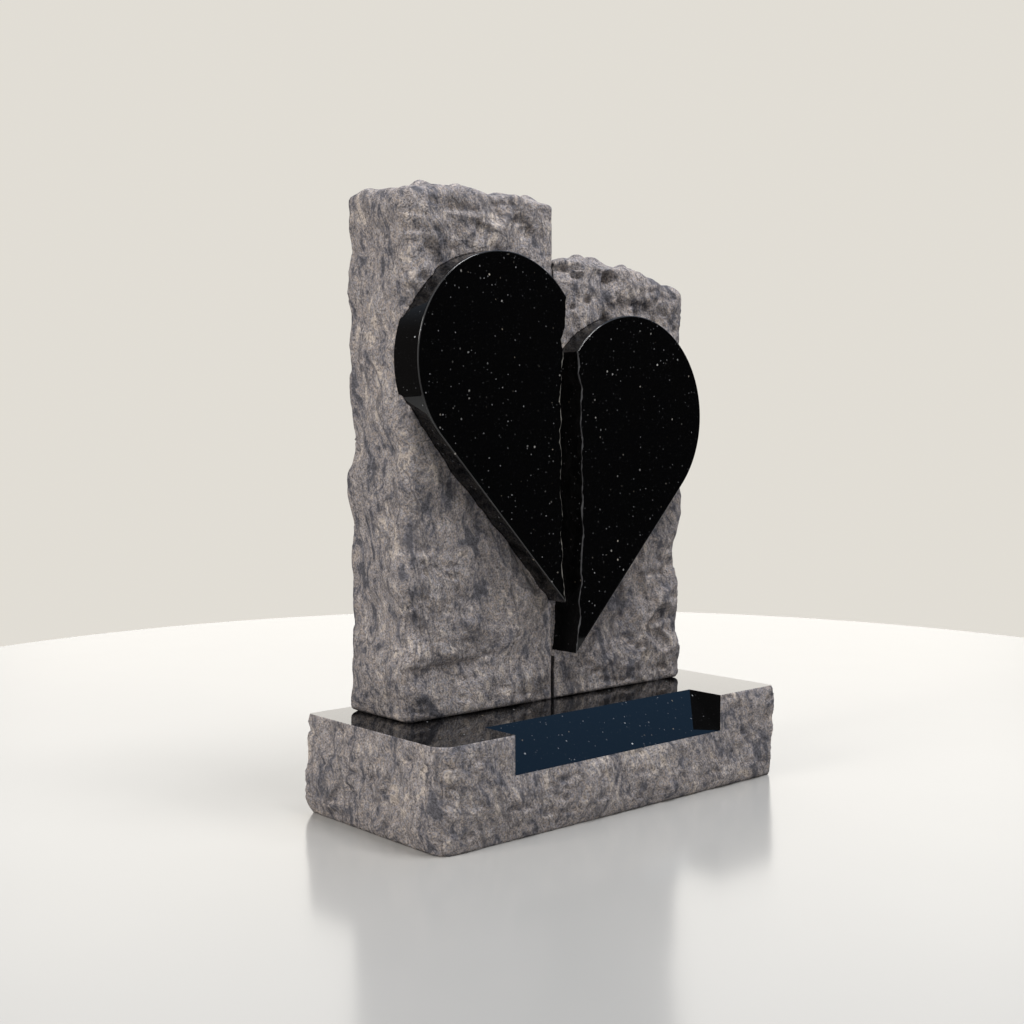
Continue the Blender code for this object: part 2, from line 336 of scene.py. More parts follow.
def black_granite(name, roughness, base, specular=0.5):
    """The black granite with its flecks on a base colour, and its shader's sockets and place."""
    material, shader, place = new_finish(name, roughness, specular)
    cluster = place.fractal(place, 14.0, 2.0, 0.5).step(0.40, 0.64)
    large, tone = flecks(place, 72.0, 0.0020, 4.2)
    middle = flecks(place, 120.0, 0.0014, 4.6)[0]
    dust = flecks(place, 300.0, 0.0007, 5.0)[0]
    tint = place.mixed(tone.step(0.6, 0.85), PALE_FLECK, GOLDEN_FLECK)
    colour = place.mixed(large * (0.4 + cluster * 0.5), (*base, 1.0), tint)
    colour = place.mixed(middle * (0.3 + cluster * 0.4), colour, GREY_FLECK)
    colour = place.mixed(dust * 0.18, colour, DUST_FLECK)
    feed(shader, "Base Color", colour)
    return material, shader, place


polished_granite, shader, place = black_granite("polished_black_granite", 0.03, (0.0016, 0.0016, 0.0018))
# The eased edge's grey base colour is a painted highlight for the bright line its polished rounding catches;
# its higher roughness is real.
eased_granite_painted_sheen, shader, place = black_granite("eased_arris_painted_sheen", 0.13, (0.030, 0.030, 0.031))
bruised_granite, shader, place = black_granite("bruised_arris", 0.40, (0.055, 0.055, 0.058))
# A paler copy of the bruised finish. Part of its paleness is the crushed crystals; most of it is a painted
# highlight for the light that the left half's break corner catches.
bruised_granite_painted_highlight, shader, place = black_granite("bruised_arris_painted_highlight", 0.40, (0.200, 0.190, 0.170))
broken_granite, shader, place = black_granite("broken_black_granite", 0.30, (0.002, 0.002, 0.0022), 0.12)
shells = place.fractal(place, 130.0, 4.0, 0.6)
shell_bump = place.make("ShaderNodeBump", {}, {"Strength": 0.6, "Distance": 0.002, "Height": shells})
feed(shader, "Normal", shell_bump)
print("black granite has five finishes: polished, eased, bruised, chipped and broken")

# %% [markdown]
# ## The shape of a pitched side
# A mason makes a rock face by striking flakes off the edge with a pitching chisel, so the face
# swells out from its sawn edges in hollows and ridges. The same few functions that shape the plain
# solids place every point here too, with a much closer grid. The finished stones then swell and
# dip exactly where the solids do.

# %% Relief of the rock faces
ROCK_BULGE = 0.0080
ROCK_WAVE = 0.0085
ROCK_WAVE_LENGTH = 0.105
ROCK_LUMP = 0.0060
ROCK_LUMP_LENGTH = 0.052
ROCK_SCOOP = 0.0070
ROCK_SCOOP_SPACING = 0.085
ROCK_SCOOP_RADIUS = 0.057
ARRIS_RUN = 0.012
BASE_RELIEF = 0.62
PILLAR_RELIEF = 1.0
BACK_RELIEF = 0.45


def rock_height(point, seed):
    """How far a pitched face stands out: a bulge, long waves, lumps, and shallow round scoops."""
    wave = noise.noise(point / ROCK_WAVE_LENGTH + seed)
    lump = noise.noise(point / ROCK_LUMP_LENGTH + seed * 2.0)
    nearest = noise.voronoi(point / ROCK_SCOOP_SPACING + seed)[0][0] * ROCK_SCOOP_SPACING
    scoop = max(0.0, 1.0 - (nearest / ROCK_SCOOP_RADIUS) ** 2)
    return ROCK_BULGE + ROCK_WAVE * wave + ROCK_LUMP * lump - ROCK_SCOOP * (scoop - 0.5)


def arris_rise(distance):
    """A pitched face starts flush at a cut arris and reaches its full relief a little way in."""
    return 1.0 - math.exp(-max(distance, 0.0) / ARRIS_RUN)


def eased(point, low, high, rock, radius):
    """A point of the sharp block moved onto one with eased rock edges, and its outward direction."""
    inner = Vector(point)
    for axis in range(3):
        if (axis, 0) in rock:
            inner[axis] = max(inner[axis], low[axis] + radius)
        if (axis, 1) in rock:
            inner[axis] = min(inner[axis], high[axis] - radius)
    offset = point - inner
    reach = max(abs(part) for part in offset)
    outward = offset.normalized()
    return inner + outward * reach, outward * (reach / radius)


def knocked_off(point, outward, corner, inward, radius):
    """Rounds off the upright edge at corner. inward points from it into the block, in plan."""
    centre = corner + inward * radius
    offset = point.to_2d() - centre
    if offset.x * inward.x >= 0.0 or offset.y * inward.y >= 0.0:
        return point, outward
    turned = offset.normalized()
    spot = centre + turned * max(abs(offset.x), abs(offset.y))
    flat = turned * outward.to_2d().length
    return Vector((spot.x, spot.y, point.z)), Vector((flat.x, flat.y, outward.z))


print("the rock faces stand out by up to", round((ROCK_BULGE + ROCK_WAVE + ROCK_LUMP) * 1000), "mm")

# %% [markdown]
# ## A block on a close grid
# Each stone starts as a closed box. Its rock sides are grids of small squares and its sawn sides
# are single flat faces, so a sawn side stays perfectly flat. The grid also keeps two notes on
# every corner for later: which way is outwards, and how much relief is allowed there.

# %% Block maker
CLOSE_GRID = 0.0031


def levels(stops):
    """Evenly spaced values about one grid step apart, with each of the stops among them."""
    values = [stops[0]]
    for start, end in zip(stops, stops[1:]):
        steps = max(1, round((end - start) / CLOSE_GRID))
        values += [start + (end - start) * step / steps for step in range(1, steps + 1)]
    return values


def block(name, stops, rock, shape):
    """A closed block. shape gives each grid corner its place, outward direction and relief."""
    grid = [levels(stops[axis]) for axis in range(3)]
    work = bmesh.new()
    outward_note = work.verts.layers.float_vector.new("outward")
    relief_note = work.verts.layers.float.new("relief")
    flat_note = work.faces.layers.int.new("sawn")
    made = {}

    def corner(axis, side, b, c):
        index = [0, 0, 0]
        index[axis] = side * (len(grid[axis]) - 1)
        index[(axis + 1) % 3] = b
        index[(axis + 2) % 3] = c
        key = tuple(index)
        if key not in made:
            spot, outward, relief = shape(Vector([grid[a][key[a]] for a in range(3)]))
            made[key] = work.verts.new(spot)
            made[key][outward_note] = outward
            made[key][relief_note] = relief
        return made[key]

    for axis in range(3):
        last_b = len(grid[(axis + 1) % 3]) - 1
        last_c = len(grid[(axis + 2) % 3]) - 1
        for side in (0, 1):
            if (axis, side) in rock:
                cells = [(b, c) for b in range(last_b) for c in range(last_c)]
                loops = [[(b, c), (b + 1, c), (b + 1, c + 1), (b, c + 1)] for b, c in cells]
            else:
                border = [(b, 0) for b in range(last_b)]
                border += [(last_b, c) for c in range(last_c)]
                border += [(b, last_c) for b in range(last_b, 0, -1)]
                border += [(0, c) for c in range(last_c, 0, -1)]
                loops = [border]
            for loop in loops:
                around = [corner(axis, side, b, c) for b, c in loop]
                face = work.faces.new(around if side else around[::-1])
                face.smooth = (axis, side) in rock
                face[flat_note] = int((axis, side) not in rock)
    mesh = bpy.data.meshes.new(name)
    work.to_mesh(mesh)
    work.free()
    thing = bpy.data.objects.new(name, mesh)
    bpy.context.scene.collection.objects.link(thing)
    return thing


print("the grid is", CLOSE_GRID * 1000, "mm")

# %% [markdown]
# ## Chisel flakes, as Geometry Nodes
# The large swells are the same in the solids. What they lack is the finer work of the chisel:
# overlapping flakes a few centimetres across, each a shallow bowl with a crisp rim, bites that end
# in a small ledge, upright grooves, and the grain of the broken crystals. This repeats all
# over the surface by one rule, so a small Geometry Nodes tree does it, and its inputs can be changed
# without touching the mesh. It moves each corner along its noted outward direction, and does
# nothing where the relief note is 0.


# %% Tree that flakes a surface
FLAKE_FORMS = ("Flake", "Chip", "Ledge", "Flute", "Grain")
FLUTE_LEAN = 0.35
FLUTE_STRETCH = 0.38


def flaking_tree():
    """The tree. Its inputs are a width and a depth for each form, a start for its noises, and the
    finishes of the rough and of the flat sides."""
    tree = bpy.data.node_groups.new("chisel_flakes", "GeometryNodeTree")
    tree.interface.new_socket("Geometry", in_out="OUTPUT", socket_type="NodeSocketGeometry")
    kinds = {"Geometry": "Geometry"}
    for form in FLAKE_FORMS:
        kinds.update({form + " Width": "Float", form + " Depth": "Float"})
    kinds.update({"Start": "Vector", "Rough Finish": "Material", "Flat Finish": "Material"})
    for title, kind in kinds.items():
        tree.interface.new_socket(title, in_out="INPUT", socket_type="NodeSocket" + kind)
    start = Value(tree)
    tree.nodes.new("NodeGroupInput")
    entry = tree.nodes["Group Input"]
    size = {socket.name: Value(tree, socket) for socket in entry.outputs}

    def note(title, kind):
        return start.make("GeometryNodeInputNamedAttribute", {"data_type": kind}, {"Name": title})

    spot = start.make("GeometryNodeInputPosition")
    outward = note("outward", "FLOAT_VECTOR")
    relief = note("relief", "FLOAT")
    place = start.vector("ADD", spot, size["Start"])
    swayed = bent_by(place, 18.0, 0.030)
    turn = {"Vector": place, "Angle": FLUTE_LEAN}
    leant = start.make("ShaderNodeVectorRotate", {"rotation_type": "Y_AXIS"}, turn)
    upright = start.vector("MULTIPLY", bent_by(leant, 9.0, 0.040), (1.0, 1.0, FLUTE_STRETCH))

    def per_metre(form):
        return start.maths("DIVIDE", 1.0, size[form + " Width"])

    def bowls(form):
        """Overlapping shallow bowls: deepest at the middle of each cell, with a rim between cells."""
        near = start.cells(swayed, per_metre(form))
        return (near * near - 0.55) * size[form + " Depth"]

    def ledges(form):
        """Bites that deepen downwards and end in a ledge, some deep and most of them shallow."""
        near = start.cells(swayed, per_metre(form))
        random = start.make("ShaderNodeSeparateXYZ", {}, {0: start.cells(swayed, per_metre(form), output=1)})
        middle = start.cells(swayed, per_metre(form), output=2)
        from_middle = start.vector("SUBTRACT", swayed, middle)
        above = start.make("ShaderNodeSeparateXYZ", {}, {0: from_middle}, output=2)
        rise = above * per_metre(form)
        under = rise.step(-0.10, 0.0) * (1.0 - rise.step(0.0, 0.75))
        return -1.0 * under * (1.0 - near.step(0.25, 0.7)) * random * random * size[form + " Depth"]

    def flutes(form):
        """Hollows that run mostly upright, with a sharp rib where two of them meet."""
        across = start.maths("ABSOLUTE", start.fractal(upright, per_metre(form), 3.0, 0.55) - 0.5)
        return (0.28 - across * 3.2) * size[form + " Depth"]

    grain = (start.fractal(place, per_metre("Grain"), 3.0, 0.6) - 0.5) * size["Grain Depth"]
    lift = (bowls("Flake") + bowls("Chip") + ledges("Ledge") + flutes("Flute") + grain) * relief
    shift = start.make("ShaderNodeVectorMath", {"operation": "SCALE"}, {0: outward, "Scale": lift})
    moved = start.make("GeometryNodeSetPosition", {}, {"Geometry": size["Geometry"], "Offset": shift})
    real = start.make("GeometryNodeRealizeInstances", {}, {"Geometry": moved})
    given = {"Geometry": real, "Material": size["Rough Finish"]}
    rough_all = start.make("GeometryNodeSetMaterial", {}, given)
    given = {"Geometry": rough_all, "Selection": note("sawn", "INT"), "Material": size["Flat Finish"]}
    finished = start.make("GeometryNodeSetMaterial", {}, given)
    tree.links.new(finished.socket, tree.nodes.new("NodeGroupOutput").inputs[0])
    return tree


CHISEL_FLAKES = flaking_tree()
print("chisel flakes tree has", len(CHISEL_FLAKES.nodes), "nodes")

# %% [markdown]
# ## From the block to the stone
# A modifier that holds the flaking tree is given its inputs by each socket's identifier. A cutter
# then takes away the desk or the place where the heart is let in, with the exact Boolean solver,
# which keeps the cut edges crisp. Last, the result becomes a plain mesh, because the finished
# stones carry no modifiers. Flakes that would stand out past the solid's own box are pressed
# back gently, so that the finished stone takes up the same room.


# %% Helpers that finish a stone
def set_inputs(modifier, inputs):
    """Sets a Geometry Nodes modifier's inputs, found by name and set by identifier."""
    for item in modifier.node_group.interface.items_tree:
        if item.in_out == "INPUT" and item.name in inputs:
            modifier[item.identifier] = inputs[item.name]


FLAKE_SIZES = {
    "Flake": (0.036, 0.0036),
    "Chip": (0.015, 0.0018),
    "Ledge": (0.028, 0.0060),
    "Flute": (0.034, 0.0052),
    "Grain": (0.007, 0.0016),
}


def flaked(thing, start, strength, flat_finish):
    """Adds the chisel flakes. FLAKE_SIZES gives the width and the depth of each form, and strength
    multiplies the depths."""
    modifier = thing.modifiers.new("flakes", "NODES")
    modifier.node_group = CHISEL_FLAKES
    inputs = {"Start": start, "Rough Finish": pitched_granite, "Flat Finish": flat_finish}
    for form, (width, depth) in FLAKE_SIZES.items():
        inputs[form + " Width"] = width
        inputs[form + " Depth"] = depth * strength
    set_inputs(modifier, inputs)


def plain(thing, name):
    """A new object with the evaluated mesh of thing, which is removed."""
    graph = bpy.context.evaluated_depsgraph_get()
    mesh = bpy.data.meshes.new_from_object(thing.evaluated_get(graph))
    bpy.data.objects.remove(thing)
    finished = bpy.data.objects.new(name, mesh)
    bpy.context.scene.collection.objects.link(finished)
    return finished


PRESS = 0.0015


def pressed_back(thing, node, rock):
    """Presses the rock sides back inside the box of the solid."""
    low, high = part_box(node)
    for vertex in thing.data.vertices:
        for axis, side in rock:
            sign = 1.0 if side else -1.0
            limit = sign * (high[axis] if side else low[axis]) - PRESS
            past = sign * vertex.co[axis] - limit
            if past > 0.0:
                vertex.co[axis] = sign * (limit + PRESS * (1.0 - math.exp(-past / PRESS)))


def cutter(name, outline, place, finish):
    """A prism to cut with. place puts each outline point at the near end (0) or far end (1)."""
    work = bmesh.new()
    ends = [[work.verts.new(place(point, end)) for point in outline] for end in (0, 1)]
    work.faces.new(ends[0])
    work.faces.new(ends[1][::-1])
    for i in range(len(outline)):
        work.faces.new([ends[0][i], ends[0][i - 1], ends[1][i - 1], ends[1][i]])
    bmesh.ops.recalc_face_normals(work, faces=work.faces[:])
    mesh = bpy.data.meshes.new(name)
    work.to_mesh(mesh)
    work.free()
    mesh.materials.append(finish)
    tool = bpy.data.objects.new(name, mesh)
    bpy.context.scene.collection.objects.link(tool)
    return tool


def cut(thing, tool, name):
    """thing with tool taken away, as a plain mesh called name."""
    modifier = thing.modifiers.new(tool.name, "BOOLEAN")
    modifier.operation = "DIFFERENCE"
    modifier.solver = "EXACT"
    modifier.material_mode = "TRANSFER"
    modifier.object = tool
    finished = plain(thing, name)
    bpy.data.objects.remove(tool)
    return finished


def hand_over(piece, node):
    """Puts the finished piece in the solid's place."""
    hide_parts(node)
    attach(piece, "root")
    piece.data.calc_loop_triangles()
    print(piece.name, "has", len(piece.data.loop_triangles), "triangles")


# %% [markdown]
# ## The base
# The base is one block. Its top is sawn and polished and its four sides are pitched. A sloping desk is
# cut into the front and polished as well. The relief dies away towards the polished top
# and towards the desk, where the mason keeps a straight edge. The underside is a single face with
# many corners, by which a loop finds it, and it is only sawn.

# %% Base
BASE_START = Vector((3.1, 7.7, 1.3))
BASE_STRENGTH = 1.5
BASE_ROCK = {(0, 0), (0, 1), (1, 0), (1, 1)}
base_low = Vector((-BASE_WIDTH / 2, -BASE_DEPTH / 2, 0.0))
base_high = Vector((BASE_WIDTH / 2, BASE_DEPTH / 2, BASE_HEIGHT))
desk_bottom = BASE_HEIGHT - DESK_DROP


def from_base_arris(point):
    """How far a point of the base's sides is from the nearest sawn edge."""
    level = min(BASE_HEIGHT - point.z, point.z)
    if point.y > 0.0:
        return level
    beside = max(abs(point.x) - DESK_WIDTH / 2, 0.0)
    below = max(desk_bottom - point.z, 0.0)
    return min(level, math.hypot(beside, below))


def base_shape(point):
    """Where a corner of the base's grid goes, its outward direction and its relief."""
    spot, outward = eased(point, base_low, base_high, BASE_ROCK, BASE_EDGE_RADIUS)
    spot, outward = knocked_off(spot, outward, base_low.to_2d(), Vector((1.0, 1.0)), BASE_CORNER_RADIUS)
    relief = BACK_RELIEF if outward.y > 0.5 else BASE_RELIEF
    rise = arris_rise(from_base_arris(spot))
    lift = relief * rock_height(spot, BASE_START) * rise
    tuck = BASE_FOOT_TUCK * math.exp(-spot.z / ARRIS_RUN)
    return spot + outward * (lift - tuck), outward, rise * (0.5 + 0.5 * relief)


across = (base_low.x, -DESK_WIDTH / 2, DESK_WIDTH / 2, base_high.x)
base_stops = (across, (base_low.y, base_high.y), (base_low.z, desk_bottom, base_high.z))
rough_base = block("rough_base", base_stops, BASE_ROCK, base_shape)
flaked(rough_base, BASE_START, BASE_STRENGTH, polished_granite)
rough_base = plain(rough_base, "flaked_base")
pressed_back(rough_base, "base", BASE_ROCK)
# The underside gets the dark copy, with painted shade in its colour.
rough_base.data.materials.append(sawn_granite_painted_shade)
for face in rough_base.data.polygons:
    if face.normal.z < -0.9 and len(face.vertices) > 4:
        face.material_index = len(rough_base.data.materials) - 1

edge = Vector((base_low.y + DESK_DEPTH, BASE_HEIGHT))
slope = Vector((DESK_DEPTH, DESK_DROP))
wedge = [edge + slope, edge - 2.0 * slope, edge - 2.0 * slope + Vector((0.0, 3.0 * DESK_DROP))]
desk = cutter("desk", wedge, lambda p, end: ((end - 0.5) * DESK_WIDTH, p.x, p.y), polished_granite)
base = cut(rough_base, desk, "pitched_base")
hand_over(base, "base")

# %% [markdown]
# ## The outline of half a heart
# Half a heart is a round lobe and a straight side that touches it without a corner. Two circles and
# a line would need fitting by eye, but the half's width, its height and the depth of the cleft
# settle all of it: the lobe's radius follows from them, and the straight side is the tangent
# from the tip.


# %% Outline
def half_heart(side, steps, grow=0.0, past=0.0):
    """The tip, the cleft, then round the lobe and down to the straight side. grow moves the curved
    and straight sides outwards, and past carries them that far over the split line. Both can
    be less than nothing, which gives a smaller half."""
    radius = HEART_HALF_WIDTH + HEART_CLEFT - math.sqrt(2.0 * HEART_HALF_WIDTH * HEART_CLEFT)
    centre = Vector((HEART_HALF_WIDTH - radius, HEART_HEIGHT - radius))
    lean = math.atan2(centre.x, centre.y) + math.asin(radius / centre.length)
    first = math.acos((max(-past, 0.0) - centre.x) / (radius + grow))
    lobe = []
    for step in range(steps + 1):
        angle = first - (first + lean) * step / steps
        lobe.append(centre + Vector((math.cos(angle), math.sin(angle))) * (radius + grow))
    outline = [Vector((-past, -(past * math.cos(lean) + grow) / math.sin(lean)))]
    if past > 0.0:
        along = (lobe[0].x + past) / math.sin(first)
        outline.append(lobe[0] + Vector((-math.sin(first), math.cos(first))) * along)
    return [Vector((side * (HEART_GAP / 2 + point.x), point.y)) for point in outline + lobe]


print("half a heart runs through", len(half_heart(-1, 96)), "points")

# %% [markdown]
# ## The pillars
# A pillar is sawn on its underside and on the side towards the split, and pitched everywhere else.
# Along its top the chisel left a few knobs, and the right pillar's top also falls
# towards its outer end. The place for the heart is cut 14 mm deep, so that the black slab sits in
# the rock instead of on it. On top of the even chisel work, lists of places give the fronts the
# single strokes and the long hollows of the photograph. The front is rougher close to its
# top, and the outer side and the top are calmer. At the foot the relief dies away sooner than at
# the split, because there the rough front runs almost down to the base.

# %% Pillars
KNOB_SETBACK = 0.045
KNOB_HEIGHT = 0.018
KNOB_REACH = 0.022
FOOT_CRISP = 5.0
EVEN_ROUGHNESS = 0.8
TOP_ROUGHNESS = 0.5
ROUGH_TOP = 0.060
OUTER_CALM = 0.45
TOP_CALM = 0.5
LEAST_CHISELLED = 0.45
LEDGE_RUN = 0.008
LEFT_STRENGTH = 0.85
RIGHT_STRENGTH = 1.60


def knob_height(distance, depth, knobs):
    """The knobs along a pillar's top, by distance from its inner face and depth from its front."""
    height = 0.0
    for knob in knobs:
        away = math.hypot(distance - knob, depth - KNOB_SETBACK) / KNOB_REACH
        height = max(height, KNOB_HEIGHT * math.exp(-away * away))
    return height


def struck(distance, below, bites):
    """How deep single strokes bit into a pillar's front, by distance from its inner face and below
    its top. A stroke with a positive rise deepens downwards and ends in a ledge, and one with
    a negative rise starts under a lip and runs out downwards."""
    depth = 0.0
    for bite_at, ledge_at, reach, rise, deepest in bites:
        across = max(0.0, 1.0 - ((distance - bite_at) / reach) ** 2)
        away = (ledge_at - below) / (rise if (ledge_at - below) * rise > 0.0 else LEDGE_RUN)
        profile = max(0.0, 1.0 - abs(away))
        depth = max(depth, deepest * profile * min(1.0, across * 2.0))
    return depth


def hollowed(distance, below, valleys):
    """How deep the long hollows are. Each follows a line of points and has a reach and a depth."""
    spot = Vector((distance, below))
    depth = 0.0
    for points, reach, deepest in valleys:
        for near, far in zip(points, points[1:]):
            near, along = Vector(near), Vector(far) - Vector(near)
            share = max(0.0, min(1.0, (spot - near).dot(along) / along.length_squared))
            away = (spot - near - along * share).length / reach
            depth = max(depth, deepest * max(0.0, 1.0 - away * away))
    return depth


def make_pillar(name, side, height, shoulder, knobs, bites, valleys, tip, start, strength):
    """One pillar. side is -1 for the left one, shoulder is how far its outer top corner falls, and
    strength is how strong its flakes are."""
    inner_x = side * PILLAR_GAP / 2
    outer_x = side * (PILLAR_GAP / 2 + PILLAR_WIDTH)
    low = Vector((min(inner_x, outer_x), PILLAR_FRONT, PILLAR_FOOT))
    high = Vector((max(inner_x, outer_x), PILLAR_FRONT + PILLAR_THICKNESS, PILLAR_FOOT + height))
    rock = {(0, 0) if side < 0 else (0, 1), (1, 0), (1, 1), (2, 1)}
    corner = Vector((outer_x, PILLAR_FRONT))

    def shape(point):
        spot, outward = eased(point, low, high, rock, PILLAR_EDGE_RADIUS)
        spot, outward = knocked_off(spot, outward, corner, Vector((-side, 1.0)), PILLAR_CORNER_RADIUS)
        from_inner = abs(spot.x - inner_x)
        from_foot = spot.z - PILLAR_FOOT
        relief = BACK_RELIEF if outward.y > 0.5 else PILLAR_RELIEF
        rise = arris_rise(min(from_inner, FOOT_CRISP * from_foot))
        lift = relief * rock_height(spot, start) * rise
        knob = max(outward.z, 0.0) * knob_height(from_inner, spot.y - PILLAR_FRONT, knobs)
        fall_off = max(from_inner - SHOULDER_START, 0.0) / (PILLAR_WIDTH - SHOULDER_START)
        fall = shoulder * fall_off**SHOULDER_CURVE * from_foot / height
        front = max(-outward.y, 0.0)
        below = height + fall - from_foot
        bite = front * (struck(from_inner, below, bites) + hollowed(from_inner, below, valleys))
        rougher = EVEN_ROUGHNESS + TOP_ROUGHNESS * front * math.exp(-max(below, 0.0) / ROUGH_TOP)
        calmer = (1.0 - OUTER_CALM * max(side * outward.x, 0.0)) * (1.0 - TOP_CALM * max(outward.z, 0.0))
        chiselled = max(rise, LEAST_CHISELLED * arris_rise(from_foot)) * rougher * calmer
        return spot + outward * lift + Vector((0.0, bite, knob - fall)), outward, chiselled

    stops = [(low[axis], high[axis]) for axis in range(3)]
    rough = block("rough_" + name, stops, rock, shape)
    # The sawn faces, the inner face in the joint and the underside, get the dark copy with painted shade.
    flaked(rough, start, strength, sawn_granite_painted_shade)
    rough = plain(rough, "flaked_" + name)
    pressed_back(rough, name, rock)
    floor = PILLAR_FRONT + HEART_INSET + JOINT
    let_in = cutter(
        "let_in_" + name,
        half_heart(side, 96, grow=JOINT, past=HEART_GAP / 2),
        lambda point, end: (point.x, floor - end * HEART_THICKNESS, tip + point.y),
        pitched_granite,
    )
    pillar = cut(rough, let_in, "pitched_" + name)
    hand_over(pillar, name)
    return pillar


LEFT_BITES = [
    (0.200, 0.026, 0.034, 0.060, 0.010),
    (0.142, 0.040, 0.026, 0.045, 0.009),
    (0.160, 0.048, 0.015, -0.034, 0.012),
    (0.072, 0.034, 0.022, 0.045, 0.009),
    (0.058, 0.042, 0.015, -0.022, 0.007),
    (0.235, 0.748, 0.085, -0.040, 0.008),
]
LEFT_VALLEYS = [
    ([(0.262, 0.090), (0.240, 0.130), (0.225, 0.165)], 0.016, 0.006),
    ([(0.095, 0.560), (0.060, 0.610), (0.035, 0.640)], 0.014, 0.006),
    ([(0.200, 0.400), (0.150, 0.430)], 0.014, 0.007),
]
RIGHT_BITES = [
    (0.012, 0.010, 0.014, -0.020, 0.009),
    (0.193, 0.060, 0.011, -0.020, 0.010),
    (0.214, 0.062, 0.009, -0.018, 0.009),
]
RIGHT_VALLEYS = [
    ([(0.132, 0.016), (0.120, 0.047), (0.129, 0.072), (0.118, 0.093), (0.089, 0.118)], 0.015, 0.014),
    ([(0.089, 0.118), (0.066, 0.142)], 0.014, 0.011),
    ([(0.150, 0.062), (0.155, 0.093), (0.136, 0.111)], 0.012, 0.009),
    ([(0.193, 0.075), (0.190, 0.097), (0.202, 0.114)], 0.010, 0.010),
    ([(0.235, 0.093), (0.240, 0.118)], 0.009, 0.008),
    ([(0.205, 0.480), (0.190, 0.530), (0.215, 0.575)], 0.014, 0.012),
    ([(0.150, 0.560), (0.155, 0.610)], 0.015, 0.012),
    ([(0.260, 0.400), (0.245, 0.450)], 0.012, 0.011),
    ([(0.265, 0.610), (0.235, 0.640), (0.270, 0.670)], 0.015, 0.012),
    ([(0.080, 0.640), (0.060, 0.680)], 0.014, 0.010),
    ([(0.110, 0.560), (0.095, 0.600)], 0.012, 0.009),
    ([(0.285, 0.520), (0.270, 0.560)], 0.012, 0.010),
]

left_pillar = make_pillar(
    "left_pillar",
    -1,
    LEFT_PILLAR_HEIGHT,
    LEFT_SHOULDER_FALL,
    (0.020, 0.172, 0.248),
    LEFT_BITES,
    LEFT_VALLEYS,
    LEFT_TIP,
    Vector((11.9, 2.3, 5.1)),
    LEFT_STRENGTH,
)
right_pillar = make_pillar(
    "right_pillar",
    1,
    RIGHT_PILLAR_HEIGHT,
    RIGHT_SHOULDER_FALL,
    (0.095, 0.127, 0.205),
    RIGHT_BITES,
    RIGHT_VALLEYS,
    RIGHT_TIP,
    Vector((5.3, 17.1, 9.7)),
    RIGHT_STRENGTH,
)

# %% [markdown]
# ## The heart halves
# Each half is a polished slab 60 mm thick with a small rounded edge at its front. Down the split
# the slab isn't sawn but broken, so its edge there bows and has shell-shaped bites, and its
# front corner is bruised more in some places than in others. The slab is built as a stack of
# rings from front to back, each a half heart a little smaller or larger than the next, and
# the split side of each ring is moved by a rule that also depends on the depth. That makes the
# broken face rough in both directions.

# %% Halves
SPLIT_BOW = 0.008
SPLIT_BITE = 0.0035
SPLIT_BITE_LENGTH = 0.078
SPLIT_RIPPLE_LENGTH = 0.030
SPLIT_FADE = 0.12
SPLIT_END = 0.010
SHELL_LENGTH = 0.017
SHELL_DEPTH = 0.0022
CRUMB_LENGTH = 0.005
CRUMB_DEPTH = 0.0007
BRUISE_LENGTH = 0.024
NICK_LENGTH = 0.007
SPLIT_ROWS = 230
LOBE_STEPS = 144
ARRIS_ROWS = 3
DEPTH_ROWS = 16
FRONT, EDGE, BRUISED, BROKEN = 0, 1, 2, 3


def split_hollow(depth, rise, height, seed):
    """How far the broken edge is hollowed behind the straight split line: a long bow with bites."""
    here = Vector((0.0, depth, rise))
    bow = math.sin(math.pi * rise / height)
    swing = noise.noise(here / SPLIT_BITE_LENGTH + seed)
    bite = abs(math.sin(math.pi * rise / SPLIT_BITE_LENGTH + swing))
    ripple = 0.5 + noise.noise(here / SPLIT_RIPPLE_LENGTH + seed)
    fade = min(1.0, rise / (SPLIT_FADE * height), (height - rise) / (SPLIT_FADE * height))
    return fade * (SPLIT_BOW * bow + SPLIT_BITE * (bite + ripple))


def fine_break(depth, rise, seed):
    """The small flakes of the break, which always bite inwards."""
    here = Vector((0.0, depth, rise))
    nearest = noise.voronoi(here / SHELL_LENGTH + seed)[0][0]
    crumb = noise.noise(here / CRUMB_LENGTH + seed) + 0.7
    return SHELL_DEPTH * min(nearest * nearest, 1.0) + CRUMB_DEPTH * crumb


def bruise(rise, seed):
    """How far the front corner of the break is bruised, as a share of the sawn edge's rounding."""
    swing = noise.noise(Vector((0.0, 0.0, rise / BRUISE_LENGTH)) + seed)
    nick = noise.noise(Vector((0.0, 0.0, rise / NICK_LENGTH)) + seed)
    return max(0.1, 0.8 + 1.6 * swing + 1.1 * nick)


def half_ring(side, depth, inset, seed):
    """The outline of a slab at one depth behind its front, made smaller all round by inset."""
    whole = half_heart(side, LOBE_STEPS)[1].y
    outline = half_heart(side, LOBE_STEPS, grow=-inset, past=-inset)
    lowest = outline[0].y
    ring = []
    for row in range(SPLIT_ROWS + 1):
        rise = lowest + (outline[1].y - lowest) * row / SPLIT_ROWS
        end = min(1.0, (rise - lowest) / SPLIT_END, (outline[1].y - rise) / SPLIT_END)
        hollow = split_hollow(depth, rise, whole, seed) + end * fine_break(depth, rise, seed)
        bruised = inset * end * (bruise(rise, seed) - 1.0)
        ring.append(Vector((outline[0].x + side * (hollow + bruised), rise)))
    return ring + outline[2:]


